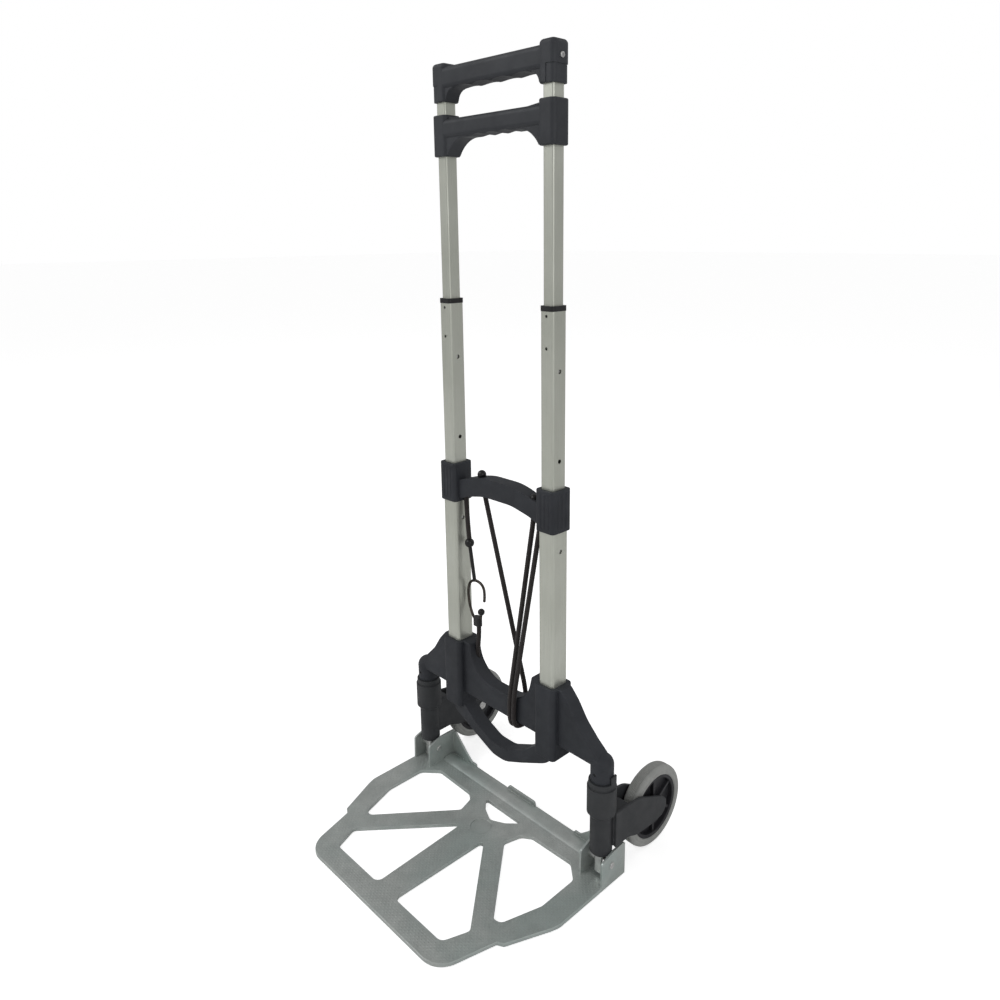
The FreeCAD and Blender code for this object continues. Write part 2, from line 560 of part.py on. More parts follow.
def make_hinge_spacers():
    """Sleeves on the hinge rivet that keep the post in the middle of the plate's ears."""
    return Part.makeCompound([
        ring(5.0, 3.0, (153, POST_Y, HINGE_Z), (POST_X - 6.3, POST_Y, HINGE_Z)),
        ring(5.0, 3.0, (POST_X + 6.3, POST_Y, HINGE_Z), (PLATE_HALF - EAR, POST_Y, HINGE_Z))])


# ---- snap buttons ----------------------------------------------------------------
def make_button(stage, height):
    """The domed pin of a snap button, standing out of the tube that carries it."""
    face = TUBE_X + stage[0] / 2
    base = face - stage[2] - BUTTON_TRAVEL - 1.0
    tip = face + 0.65
    body = rod(BUTTON_R, (base, TUBE_Y, height), (tip, TUBE_Y, height))
    end = [edge for edge in body.Edges if abs(edge.CenterOfMass.x - tip) < 0.01 and edge.Length > 3]
    return body.makeFillet(1.2, end)


def make_button_spring(stage, height):
    """The folded steel strip behind a button: it bears on the far wall of the tube."""
    base = TUBE_X + stage[0] / 2 - stage[2] - BUTTON_TRAVEL - 1.0
    far = TUBE_X - stage[0] / 2 + stage[2] + BUTTON_TRAVEL + 0.6
    middle = (base + far) / 2
    points = [(base, height + 6), (base, height - 14), (middle, height - 20), (far, height - 14),
              (far, height - 4), (far + 0.5, height - 4), (far + 0.5, height - 13.7),
              (middle, height - 19.3), (base - 0.5, height - 13.7), (base - 0.5, height + 6)]
    return slab("xz", points, 0, TUBE_Y - 2.2, TUBE_Y + 2.2)


def on_left_leg(solid):
    """The same leg is used on both sides, so its left copy is moved, not mirrored."""
    copy = solid.copy()
    copy.translate(Vector(-2 * TUBE_X, 0, 0))
    return copy


def make_outer_tube():
    holes = [cross_hole(BUTTON_HOLE_R, LOWER_BUTTON_Z, TUBE_X, TUBE_X + 20),
             rod(SCREW_HOLE_R, (TUBE_X, TUBE_Y + 5, SOCKET_SCREW_Z), (TUBE_X, TUBE_Y + 20, SOCKET_SCREW_Z)),
             rod(SCREW_HOLE_R, (TUBE_X, TUBE_Y + 5, BRACE_SCREW_Z), (TUBE_X, TUBE_Y + 20, BRACE_SCREW_Z))]
    return stage_tube(OUTER).cut(holes)


def make_middle_tube():
    holes = [cross_hole(BUTTON_HOLE_R, height, TUBE_X, TUBE_X + 20)
             for height in (LOWER_BUTTON_Z, SPARE_HOLE_Z, UPPER_BUTTON_Z)]
    holes += [rod(1.9, (TUBE_X, TUBE_Y - 20, height), (TUBE_X, TUBE_Y, height)) for height in FRONT_HOLES_Z]
    return stage_tube(MIDDLE).cut(holes)


def make_upper_tube():
    holes = [cross_hole(BUTTON_HOLE_R, UPPER_BUTTON_Z, TUBE_X, TUBE_X + 20),
             rod(SCREW_HOLE_R, (TUBE_X, TUBE_Y + 5, LOWER_GRIP_SCREW_Z), (TUBE_X, TUBE_Y + 20, LOWER_GRIP_SCREW_Z))]
    return stage_tube(UPPER).cut(holes)


def make_inner_tube():
    return stage_tube(INNER)


# ---- elastic cords and their hook ------------------------------------------------
def on_legs(route):
    return [(x, TUBE_Y + y, z) for x, y, z in route]


def make_cord(route, name):
    return bent_rod(on_legs(route), CORD_R, name)


def ball(radius, x, y, z):
    return Part.makeSphere(radius, Vector(x, TUBE_Y + y, z))


def make_wire_hook():
    """An open wire hook: the cord's end ties to its top, the mouth is on the right."""
    return bent_rod(on_legs(WIRE_ROUTE), WIRE_R, "wire hook")


def main():
    os.makedirs("parts", exist_ok=True)
    for name, shape in (("outer_tube", make_outer_tube()), ("middle_tube", make_middle_tube()),
                        ("upper_tube", make_upper_tube()), ("inner_tube", make_inner_tube()),
                        ("outer_collar", guide_collar(MIDDLE, UPPER, COLLAR_LOW, COLLAR_HIGH, 16.0)),
                        ("middle_glide", lower_glide(MIDDLE, OUTER, 14.0)),
                        ("upper_glide", lower_glide(UPPER, MIDDLE, 14.0)),
                        ("lower_button", make_button(MIDDLE, LOWER_BUTTON_Z)),
                        ("upper_button", make_button(UPPER, UPPER_BUTTON_Z)),
                        ("lower_button_spring", make_button_spring(MIDDLE, LOWER_BUTTON_Z)),
                        ("upper_button_spring", make_button_spring(UPPER, UPPER_BUTTON_Z))):
        save(name + "_right", shape)
        save(name + "_left", on_left_leg(shape))

    save("top_grip", make_top_grip())
    save("lower_grip", make_lower_grip())
    save("middle_brace", make_middle_brace())
    save("base_housing", make_housing())
    grip_side = TUBE_X + TOP_SLEEVE[0] / 2
    save("top_grip_screws", Part.makeCompound(both(pan_screw(
        (grip_side, TUBE_Y, TOP_GRIP_SCREW_Z), (TUBE_X + INNER[0] / 2 + 0.1, TUBE_Y, TOP_GRIP_SCREW_Z)))))
    for name, height, depth, tube in (("lower_grip_screws", LOWER_GRIP_SCREW_Z, LOWER_SLEEVE[1], UPPER),
                                      ("brace_screws", BRACE_SCREW_Z, CLAMP[1], OUTER),
                                      ("socket_screws", SOCKET_SCREW_Z, SOCKET[1], OUTER)):
        back = TUBE_Y + depth / 2
        tip = TUBE_Y + tube[1] / 2 - tube[2]
        save(name, Part.makeCompound(both(pan_screw((TUBE_X, back, height), (TUBE_X, tip, height)))))

    save_pair("pivot_post", make_post())
    save_pair("post_pin", rod(2.0, (POST_X, POST_Y - 13.5, PIN_Z), (POST_X, POST_Y + 13.5, PIN_Z)))
    save_pair("wheel_bracket", make_bracket())
    save_pair("axle", make_axle())
    save_pair("axle_washers", make_washers())
    save_pair("wheel_hub", make_wheel_hub())
    save_pair("tyre", make_tyre())
    save("toe_plate", make_toe_plate())
    save_pair("hinge_rivet", make_hinge_rivet())
    save_pair("hinge_spacers", make_hinge_spacers())

    save("elastic_loop", make_cord(LOOP_ROUTE, "loop"))
    save("elastic_stay", make_cord(STAY_ROUTE, "stay"))
    save("hook_cord", make_cord(HOOK_CORD_ROUTE, "hook cord"))
    save("tail_cord", make_cord(TAIL_CORD_ROUTE, "tail cord"))
    save("cord_knots", Part.makeCompound([ball(KNOT_R, *knot) for knot in KNOTS]))
    save("hook_ball", ball(6.4, -66.3, 1, 384))
    save("hook_shank", rod(2.5, (-65.5, TUBE_Y + 1.2, 378), (-58.6, TUBE_Y + 2, 330)))
    save("wire_hook", make_wire_hook())
    save("hook_bead", ball(4.8, -46.5, 2, 288.5))
    save("hook_crimp", column(-54, TUBE_Y + 2, 13.2, 8.8, 4.0, 266.5, 279))


main()
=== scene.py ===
# %% [markdown]
# # A folding luggage cart
# The cart is a frame of telescopic aluminium legs, dark mouldings and a cast toe plate. Its shapes and its
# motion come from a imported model, which is loaded first and never changed. This file gives every surface
# its finish, and makes the pieces that a plain solid can't show: the braided cords, the grooved tyres, the
# bent wire of the hook, and the knurled tread of the plate.

# %% Load the frame
import json
import math

import bmesh
import bpy
from mathutils import Matrix, Vector


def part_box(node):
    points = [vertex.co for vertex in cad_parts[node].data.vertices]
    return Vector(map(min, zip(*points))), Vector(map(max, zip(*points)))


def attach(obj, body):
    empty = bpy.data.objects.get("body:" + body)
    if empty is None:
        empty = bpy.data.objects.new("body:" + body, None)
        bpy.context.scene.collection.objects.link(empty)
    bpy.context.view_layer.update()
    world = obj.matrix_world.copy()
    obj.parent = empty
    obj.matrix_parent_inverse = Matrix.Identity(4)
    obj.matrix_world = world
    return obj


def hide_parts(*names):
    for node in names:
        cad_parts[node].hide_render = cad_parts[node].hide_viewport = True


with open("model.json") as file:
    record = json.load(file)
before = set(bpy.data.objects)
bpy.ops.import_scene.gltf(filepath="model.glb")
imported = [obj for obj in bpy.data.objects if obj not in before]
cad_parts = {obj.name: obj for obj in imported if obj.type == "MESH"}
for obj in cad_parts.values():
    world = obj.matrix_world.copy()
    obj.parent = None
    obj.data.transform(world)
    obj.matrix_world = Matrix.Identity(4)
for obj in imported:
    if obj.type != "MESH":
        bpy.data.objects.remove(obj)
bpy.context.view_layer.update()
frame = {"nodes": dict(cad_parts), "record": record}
nodes = frame["nodes"]

# %% [markdown]
# The camera stands at waist height, to the right of the plate, and looks slightly down at the cart. A lens
# of 29 mm is wide enough to show the near wheel larger than the far one. The frame is shifted a little, so
# that the upright legs stay upright.

# %% Camera
CAMERA_AT = Vector((0.7221, -0.6374, 0.7883))
CAMERA_TURN = math.radians(45.4963)
CAMERA_DOWN = math.radians(13.6211)
CAMERA_ROLL = math.radians(-0.4924)


def make_camera():
    across = Vector((math.cos(CAMERA_TURN), math.sin(CAMERA_TURN), 0))
    level = Vector((-math.sin(CAMERA_TURN), math.cos(CAMERA_TURN), 0))
    ahead = level * math.cos(CAMERA_DOWN) - Vector((0, 0, math.sin(CAMERA_DOWN)))
    up = across.cross(ahead)
    right = across * math.cos(CAMERA_ROLL) + up * math.sin(CAMERA_ROLL)
    top = up * math.cos(CAMERA_ROLL) - across * math.sin(CAMERA_ROLL)
    data = bpy.data.cameras.new("camera")
    data.sensor_width = 36.0
    data.lens = 29.41
    data.shift_x = -0.01924
    data.shift_y = -0.06754
    camera = bpy.data.objects.new("camera", data)
    turn = Matrix((right, top, -ahead)).transposed().to_4x4()
    camera.matrix_world = Matrix.Translation(CAMERA_AT) @ turn
    bpy.context.scene.collection.objects.link(camera)
    bpy.context.scene.camera = camera
    print("camera:", data.lens, "mm lens")


make_camera()

# %% [markdown]
# Every cord is elastic: a rubber core in a tight braid, 6.6 mm thick. Each route is a short list of points
# that steer a smooth NURBS line. The cords are stretched, so their long stretches are straight, and each
# has an extra point a little way before the edge that it turns round.
#
# The braid is real relief. A tube is laid along the line, and each of its points is raised where one of two
# opposite sets of strands passes over the other. A bump map would look the same from far away, but the
# outline of the cord would be smooth.

# %% Cords
LEG_Y = 0.0405
CORD_RADIUS = 0.0033
AROUND = 24
STRAND_HEIGHT = 0.00018
LOOP_ROUTE = [(-38.5, 1, 481.5), (-35.6, 1.2, 466), (-26.5, 3.1, 426), (18.7, 12.7, 228),
              (25.5, 14.2, 198), (26.5, 15.4, 166), (26.5, 10.2, 153.2), (25, -9.2, 153.2),
              (24.5, -14.8, 166), (25, -14.2, 198), (28.9, -12.7, 228), (53.9, -3.5, 418),
              (58.4, -1.8, 452), (59, -1.5, 471.5)]
STAY_ROUTE = [(73, -6, 446), (68.2, -7, 416), (37.6, -13.2, 231), (32.5, -14.2, 200),
              (31.5, -14.8, 166), (31.5, -9.2, 153.2), (33.4, 10.2, 153.2), (33.9, 15.4, 166),
              (33.9, 14.4, 178)]
HOOK_CORD_ROUTE = [(-71, 1, 449.5), (-69, 1, 410), (-66.5, 1, 390)]
TAIL_CORD_ROUTE = [(-52, 2, 266.5), (-52.3, 2.4, 254), (-55.5, 3.2, 236), (-57.5, 3.5, 216)]


def on_legs(route):
    """A route in millimetres, measured from the plane of the legs, as points of the frame in metres."""
    return [Vector((x / 1000, LEG_Y + y / 1000, z / 1000)) for x, y, z in route]


def smooth_line(points):
    """The points that a NURBS spline passes through on its way along a route."""
    data = bpy.data.curves.new("route", "CURVE")
    data.dimensions = "3D"
    data.resolution_u = 24
    spline = data.splines.new("NURBS")
    spline.points.add(len(points) - 1)
    for handle, point in zip(spline.points, points):
        handle.co = (*point, 1)
    spline.order_u = 3
    spline.use_endpoint_u = True
    holder = bpy.data.objects.new("route", data)
    bpy.context.scene.collection.objects.link(holder)
    bpy.context.view_layer.update()
    line = bpy.data.meshes.new_from_object(holder)
    found = [vertex.co.copy() for vertex in line.vertices]
    bpy.data.objects.remove(holder)
    bpy.data.meshes.remove(line)
    return found


def evenly(line, step):
    """The same line with its points a step apart."""
    total = sum((b - a).length for a, b in zip(line, line[1:]))
    count = max(2, round(total / step))
    wanted = [total * i / count for i in range(count + 1)]
    result, walked, here = [], 0.0, 0
    for distance in wanted:
        while here < len(line) - 2 and walked + (line[here + 1] - line[here]).length < distance:
            walked += (line[here + 1] - line[here]).length
            here += 1
        span = (line[here + 1] - line[here]).length
        share = min(1.0, (distance - walked) / span) if span else 0.0
        result.append(line[here].lerp(line[here + 1], share))
    return result, total


def tube_mesh(name, line, radius_at, around):
    """A closed tube along a line. radius_at says how far out the skin is at (distance, angle)."""
    mesh = bpy.data.meshes.new(name)
    made = bmesh.new()
    ahead = (line[1] - line[0]).normalized()
    side = ahead.orthogonal().normalized()
    rings, walked = [], 0.0
    for i, point in enumerate(line):
        following = line[min(i + 1, len(line) - 1)] - line[max(i - 1, 0)]
        turn = ahead.rotation_difference(following.normalized())
        side = turn @ side
        ahead = following.normalized()
        other = ahead.cross(side)
        if i:
            walked += (point - line[i - 1]).length
        ring = []
        for j in range(around):
            angle = 2 * math.pi * j / around
            out = side * math.cos(angle) + other * math.sin(angle)
            ring.append(made.verts.new(point + out * radius_at(walked, angle)))
        rings.append(ring)
    for first, second in zip(rings, rings[1:]):
        for j in range(around):
            k = (j + 1) % around
            made.faces.new((first[j], first[k], second[k], second[j]))
    made.faces.new(rings[0][::-1])
    made.faces.new(rings[-1])
    for face in made.faces:
        face.smooth = len(face.verts) == 4
    made.to_mesh(mesh)
    made.free()
    piece = bpy.data.objects.new(name, mesh)
    bpy.context.scene.collection.objects.link(piece)
    return piece


def braid(walked, angle):
    """Two sets of strands wind round the core in opposite senses and pass over each other in turn."""
    pitch = 2 * math.pi * walked / 0.0130
    lift = max(math.cos(4 * angle + 4 * pitch), math.cos(4 * angle - 4 * pitch))
    return CORD_RADIUS - STRAND_HEIGHT * (1 - lift)


def make_cord(name, route, node):
    line, length = evenly(smooth_line(on_legs(route)), 0.0008)
    piece = tube_mesh(name, line, braid, AROUND)
    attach(piece, "base_frame")
    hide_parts(node)
    print(name, "length", round(length, 4), "m,", len(piece.data.polygons), "faces")
    return piece


cords = [make_cord("crossed_cord", LOOP_ROUTE, "elastic_loop"),
         make_cord("side_cord", STAY_ROUTE, "elastic_stay"),
         make_cord("hook_upper_cord", HOOK_CORD_ROUTE, "hook_cord"),
         make_cord("hook_lower_cord", TAIL_CORD_ROUTE, "tail_cord")]

# %% [markdown]
# ## Finishes
# A finish is built from a few nodes that all read the piece's own coordinates, in metres, so a pattern has
# its true size on every piece. This helper makes a node, sets its sockets and links the ones that are
# given as outputs of other nodes. Values that are the same all over a surface stay on the shader itself.

# %% Node helpers
def add_node(tree, kind, settings=None, **sockets):
    """Adds a node. A socket is named by its label, or by its number after an underscore."""
    made = tree.nodes.new(kind)
    for key, value in (settings or {}).items():
        setattr(made, key, value)
    for key, value in sockets.items():
        socket = made.inputs[int(key[1:])] if key[0] == "_" else made.inputs[key.replace("_", " ")]
        if isinstance(value, bpy.types.NodeSocket):
            tree.links.new(value, socket)
        else:
            socket.default_value = value
    return made


def node(tree, kind, settings=None, **sockets):
    return add_node(tree, "ShaderNode" + kind, settings, **sockets)


def begin(name):
    """A new material with its shader, and the coordinates that its patterns read."""
    material = bpy.data.materials.new(name)
    material.use_nodes = True
    tree = material.node_tree
    tree.nodes.clear()
    shader = tree.nodes.new("ShaderNodeBsdfPrincipled")
    output = tree.nodes.new("ShaderNodeOutputMaterial")
    tree.links.new(shader.outputs[0], output.inputs[0])
    place = tree.nodes.new("ShaderNodeTexCoord").outputs["Object"]
    return material, tree, shader, place


def noise(tree, place, scale, detail=2.0, roughness=0.5):
    made = node(tree, "TexNoise", Vector=place, Scale=scale, Detail=detail, Roughness=roughness)
    return made.outputs[0]


def spread(tree, value, low, high, low_from=0.3, high_from=0.7):
    """Maps the middle of a pattern's range to another range."""
    return node(tree, "MapRange", _0=value, _1=low_from, _2=high_from, _3=low, _4=high).outputs[0]


def times(tree, first, second):
    return node(tree, "Math", {"operation": "MULTIPLY"}, _0=first, _1=second).outputs[0]


def mixed(tree, share, first, second):
    made = node(tree, "Mix", {"data_type": "RGBA"}, _0=share)
    for socket, value in ((made.inputs[6], first), (made.inputs[7], second)):
        if isinstance(value, bpy.types.NodeSocket):
            tree.links.new(value, socket)
        else:
            socket.default_value = (*value, 1)
    return made.outputs[2]


def soft_edges(tree, width):
    """A normal that rolls over sharp edges, so that each one catches a thin line of light."""
    return node(tree, "Bevel", {"samples": 4}, Radius=width).outputs[0]


def edge_mask(tree, width, strength):
    """White along sharp edges, where hands and floors rub a surface, and black elsewhere."""
    rounded = soft_edges(tree, width)
    flat = tree.nodes.new("ShaderNodeNewGeometry").outputs["Normal"]
    match = node(tree, "VectorMath", {"operation": "DOT_PRODUCT"}, _0=rounded, _1=flat).outputs["Value"]
    return node(tree, "MapRange", _0=match, _1=1.0, _2=1.0 - 1.0 / strength, _3=0.0, _4=1.0).outputs[0]


def bump(tree, height, distance, strength=1.0, normal=None):
    made = node(tree, "Bump", Height=height, Distance=distance, Strength=strength)
    if normal is not None:
        tree.links.new(normal, made.inputs["Normal"])
    return made.outputs[0]


# %% [markdown]
# The mouldings are charcoal plastic with a fine grain from a spark-etched mould. Two patterns of different
# size make the grain. A slow third one varies the colour a little, as scuffed plastic does, and the edges
# are paler where they have been rubbed.

# %% Moulded plastic
def moulded(name, dark, light, roughness, grain=1400.0, depth=0.00009, wear=0.35):
    material, tree, shader, place = begin(name)
    mottle = spread(tree, noise(tree, place, 22.0, 4.0, 0.6), 0.0, 1.0)
    base = mixed(tree, mottle, dark, light)
    scuff = spread(tree, noise(tree, place, 130.0, 5.0, 0.65), 0.0, 1.0, 0.45, 0.75)
    edge = edge_mask(tree, 0.0012, 6.0)
    rubbed = times(tree, times(tree, edge, scuff), wear)
    pale = tuple(min(1.0, channel * 3.2 + 0.03) for channel in light)
    tree.links.new(mixed(tree, rubbed, base, pale), shader.inputs["Base Color"])
    gloss = spread(tree, noise(tree, place, 60.0, 3.0), roughness - 0.07, roughness + 0.07)
    tree.links.new(gloss, shader.inputs["Roughness"])
    coarse = bump(tree, noise(tree, place, grain * 0.35, 2.0), depth * 1.6, 0.5, soft_edges(tree, 0.0007))
    fine = bump(tree, noise(tree, place, grain, 1.0), depth, 0.7, coarse)
    tree.links.new(fine, shader.inputs["Normal"])
    shader.inputs["Specular IOR Level"].default_value = 0.36
    return material


housing_finish = moulded("charcoal_moulding", (0.019, 0.021, 0.026), (0.029, 0.032, 0.039), 0.60)
grip_finish = moulded("charcoal_grip", (0.024, 0.026, 0.031), (0.035, 0.038, 0.044), 0.56,
                      grain=1700.0, depth=0.00007)
bracket_finish = moulded("charcoal_bracket", (0.026, 0.028, 0.031), (0.040, 0.042, 0.045), 0.56)
hub_finish = moulded("dark_hub_plastic", (0.018, 0.018, 0.021), (0.028, 0.028, 0.032), 0.52)
guide_finish = moulded("black_guide_plastic", (0.012, 0.012, 0.013), (0.018, 0.018, 0.019), 0.36,
                       grain=2200.0, depth=0.00003)
bead_finish = moulded("black_bead_plastic", (0.007, 0.007, 0.008), (0.012, 0.011, 0.011), 0.32,
                      grain=2500.0, depth=0.00002)
print("moulded finishes: 6")

# %% [markdown]
# The legs are extruded aluminium with a satin anodised skin. Extrusion leaves faint lines that run along
# the tube, so the pattern is stretched fifty times along Z before it reaches the noise. The same lines
# drive the roughness and a very shallow bump, and a few fine rub marks show where the stages slide.

# %% Anodised tube
def anodised(name, dark, light, roughness):
    material, tree, shader, place = begin(name)
    drawn = node(tree, "Mapping", Vector=place, Scale=(1.0, 1.0, 0.02)).outputs[0]
    lines = noise(tree, drawn, 900.0, 4.0, 0.6)
    patches = noise(tree, place, 9.0, 3.0)
    tone = spread(tree, patches, 0.0, 1.0, 0.35, 0.65)
    base = mixed(tree, tone, dark, light)
    streak = spread(tree, lines, 0.0, 0.35)
    tree.links.new(mixed(tree, streak, base, tuple(c * 0.86 for c in dark)), shader.inputs["Base Color"])
    rubs = node(tree, "Mapping", Vector=place, Scale=(1.0, 1.0, 0.006)).outputs[0]
    marks = spread(tree, noise(tree, rubs, 2600.0, 2.0), 0.0, 0.16, 0.62, 0.75)
    gloss = spread(tree, lines, roughness - 0.06, roughness + 0.07)
    rough = node(tree, "Math", {"operation": "SUBTRACT"}, _0=gloss, _1=marks).outputs[0]
    tree.links.new(rough, shader.inputs["Roughness"])
    tree.links.new(bump(tree, lines, 0.00003, 0.5), shader.inputs["Normal"])
    shader.inputs["Metallic"].default_value = 0.78
    return material


tube_finish = anodised("satin_anodised_tube", (0.55, 0.565, 0.50), (0.63, 0.645, 0.58), 0.40)
print("anodised finish: 1")

# %% [markdown]
# The toe plate is cast and tumbled, so its skin is grainy and uneven, a grey with a touch of green. Three
# scales of noise give the sand texture, the tumbled mottle and the slow stains. Its edges are brighter,
# because the plate is scraped along floors.

# %% Cast aluminium
def cast_metal(name, dark, light, stain, roughness):
    material, tree, shader, place = begin(name)
    mottle = spread(tree, noise(tree, place, 55.0, 5.0, 0.65), 0.0, 1.0)
    base = mixed(tree, mottle, dark, light)
    stains = spread(tree, noise(tree, place, 8.0, 4.0, 0.55), 0.0, 0.75, 0.42, 0.66)
    base = mixed(tree, stains, base, stain)
    speck = spread(tree, noise(tree, place, 900.0, 2.0), 0.0, 0.35, 0.52, 0.70)
    base = mixed(tree, speck, base, tuple(c * 0.6 for c in dark))
    edge = times(tree, edge_mask(tree, 0.001, 5.0), 0.45)
    tree.links.new(mixed(tree, edge, base, (0.62, 0.64, 0.62)), shader.inputs["Base Color"])
    gloss = spread(tree, noise(tree, place, 70.0, 3.0), roughness - 0.08, roughness + 0.08)
    tree.links.new(gloss, shader.inputs["Roughness"])
    coarse = bump(tree, noise(tree, place, 260.0, 3.0), 0.0002, 0.35, soft_edges(tree, 0.0009))
    sand = bump(tree, noise(tree, place, 1100.0, 2.0), 0.00012, 0.6, coarse)
    tree.links.new(sand, shader.inputs["Normal"])
    shader.inputs["Metallic"].default_value = 0.65
    return material


plate_finish = cast_metal("cast_plate", (0.42, 0.445, 0.43), (0.54, 0.565, 0.545),
                          (0.40, 0.465, 0.445), 0.50)
print("cast finish: 1")


# %% [markdown]
# Screws, rivets, axles, posts and buttons are zinc-plated steel: bright, with a slight cloud in the colour
# and in the gloss, and a fine grain. The hook's wire is browned steel, much darker than the rest.

# %% Plated steel
def plated(name, dark, light, roughness):
    material, tree, shader, place = begin(name)
    cloud = spread(tree, noise(tree, place, 160.0, 4.0), 0.0, 1.0)
    tree.links.new(mixed(tree, cloud, dark, light), shader.inputs["Base Color"])
    gloss = spread(tree, noise(tree, place, 400.0, 3.0), roughness - 0.07, roughness + 0.09)
    tree.links.new(gloss, shader.inputs["Roughness"])
    tree.links.new(bump(tree, noise(tree, place, 1500.0, 2.0), 0.00003, 0.5), shader.inputs["Normal"])
    shader.inputs["Metallic"].default_value = 0.95
    return material


steel_finish = plated("zinc_plated_steel", (0.50, 0.50, 0.50), (0.66, 0.66, 0.64), 0.32)
wire_finish = plated("browned_wire", (0.035, 0.030, 0.026), (0.10, 0.088, 0.078), 0.40)
print("steel finishes: 2")


# %% [markdown]
# The tyres are grey non-marking rubber. Rubber is dull and slightly dusty, so its roughness is high, its
# colour has pale dust patches, and a little sheen brightens it at a glancing angle.

# %% Tyre rubber
def rubber(name, dark, light, dust):
    material, tree, shader, place = begin(name)
    mottle = spread(tree, noise(tree, place, 45.0, 5.0, 0.6), 0.0, 1.0)
    base = mixed(tree, mottle, dark, light)
    dusty = spread(tree, noise(tree, place, 120.0, 6.0, 0.7), 0.0, 0.5, 0.5, 0.72)
    tree.links.new(mixed(tree, dusty, base, dust), shader.inputs["Base Color"])
    gloss = spread(tree, noise(tree, place, 80.0, 3.0), 0.62, 0.80)
    tree.links.new(gloss, shader.inputs["Roughness"])
    tree.links.new(bump(tree, noise(tree, place, 1300.0, 3.0), 0.0001, 0.5), shader.inputs["Normal"])
    shader.inputs["Sheen Weight"].default_value = 0.12
    return material


tyre_finish = rubber("grey_rubber", (0.27, 0.275, 0.265), (0.34, 0.345, 0.33), (0.43, 0.43, 0.41))
print("rubber finish: 1")


# %% [markdown]
# The cords' braid is polyester, almost black with a brown cast. The relief already holds the strands, so
# the finish only adds fibres, a soft sheen, and a shift of colour from strand to strand.

# %% Braided cord
def braided(name, dark, light):
    material, tree, shader, place = begin(name)
    fibre = spread(tree, noise(tree, place, 700.0, 5.0, 0.7), 0.0, 1.0)
    tree.links.new(mixed(tree, fibre, dark, light), shader.inputs["Base Color"])
    tree.links.new(spread(tree, noise(tree, place, 300.0, 3.0), 0.66, 0.86), shader.inputs["Roughness"])
    tree.links.new(bump(tree, noise(tree, place, 2600.0, 3.0), 0.00006, 0.7), shader.inputs["Normal"])
    shader.inputs["Sheen Weight"].default_value = 0.12
    shader.inputs["Sheen Roughness"].default_value = 0.5
    return material


cord_finish = braided("brown_black_braid", (0.008, 0.0055, 0.005), (0.018, 0.012, 0.011))
for cord in cords:
    cord.data.materials.append(cord_finish)
print("cord finish: 1")

# %% [markdown]
# Most of the cart's pieces already have their true shape, so they only take a finish. Each finish is
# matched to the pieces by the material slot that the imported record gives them.

# %% Finish the carried-over pieces
FINISH_OF_SLOT = {"housing_plastic": housing_finish, "grip_plastic": grip_finish,
                  "bracket_plastic": bracket_finish, "hub_plastic": hub_finish,
                  "cast_aluminium": plate_finish, "tube_aluminium": tube_finish,
                  "screw_steel": steel_finish, "bare_steel": steel_finish, "black_guide": guide_finish,
                  "grey_tyre": tyre_finish, "elastic_cord": cord_finish, "black_bead": bead_finish,
                  "hook_wire": wire_finish}
slot_of = {row["node"]: row["material_slot"] for row in frame["record"]["subparts"]}
for name, piece in nodes.items():
    finish = FINISH_OF_SLOT[slot_of[name]]
    if not piece.material_slots:
        piece.data.materials.append(finish)
    for place in piece.material_slots:
        place.material = finish
print("finished:", len(nodes), "pieces")

# %% [markdown]
# ## Tyres
# A tyre is a ring with the same section all the way round, so it is turned, as on a lathe. The section runs
# from one bead over the shoulder and the tread to the other bead. The tread has five fine grooves, and each
# side has a shallow moulded step. The section is worked out from the tyre's width and radius.

# %% Turn the tyres
GROOVES = 5
GROOVE_DEPTH = 0.0007
GROOVE_WIDTH = 0.0012
BEAD_CHAMFER = 0.0012
WALL_STEP = 0.0006
STEP_STARTS, STEP_ENDS, WALL_ENDS = 0.0040, 0.0044, 0.0056
SHOULDER_WIDTH, SHOULDER_HEIGHT, CROWN_RISE = 0.0040, 0.0046, 0.0004
TREAD_MARGIN = 0.0050
LATHE_STEPS = 144


def tyre_section(width, outer, inner):
    """Half-open section of the tyre as (distance across, radius) pairs, from bead to bead."""
    half = width / 2
    side = [(-half + BEAD_CHAMFER, inner), (-half, inner + BEAD_CHAMFER), (-half, inner + STEP_STARTS),
            (-half + WALL_STEP, inner + STEP_ENDS), (-half + WALL_STEP, inner + WALL_ENDS)]
    for i in range(9):
        angle = math.pi / 2 * i / 8
        side.append((-half + WALL_STEP + SHOULDER_WIDTH * (1 - math.cos(angle)),
                     outer - CROWN_RISE - SHOULDER_HEIGHT * (1 - math.sin(angle))))
    crown, flat = [], half - TREAD_MARGIN
    for i in range(GROOVES):
        centre = -flat + 2 * flat * (i + 0.5) / GROOVES
        for edge, depth in ((-1, 0), (-0.5, 1), (0.5, 1), (1, 0)):
            x = centre + edge * GROOVE_WIDTH / 2
            rise = CROWN_RISE * (1 - (x / half) ** 2)
            crown.append((x, outer - CROWN_RISE + rise - depth * GROOVE_DEPTH))
    return side + crown + [(-x, radius) for x, radius in reversed(side)]


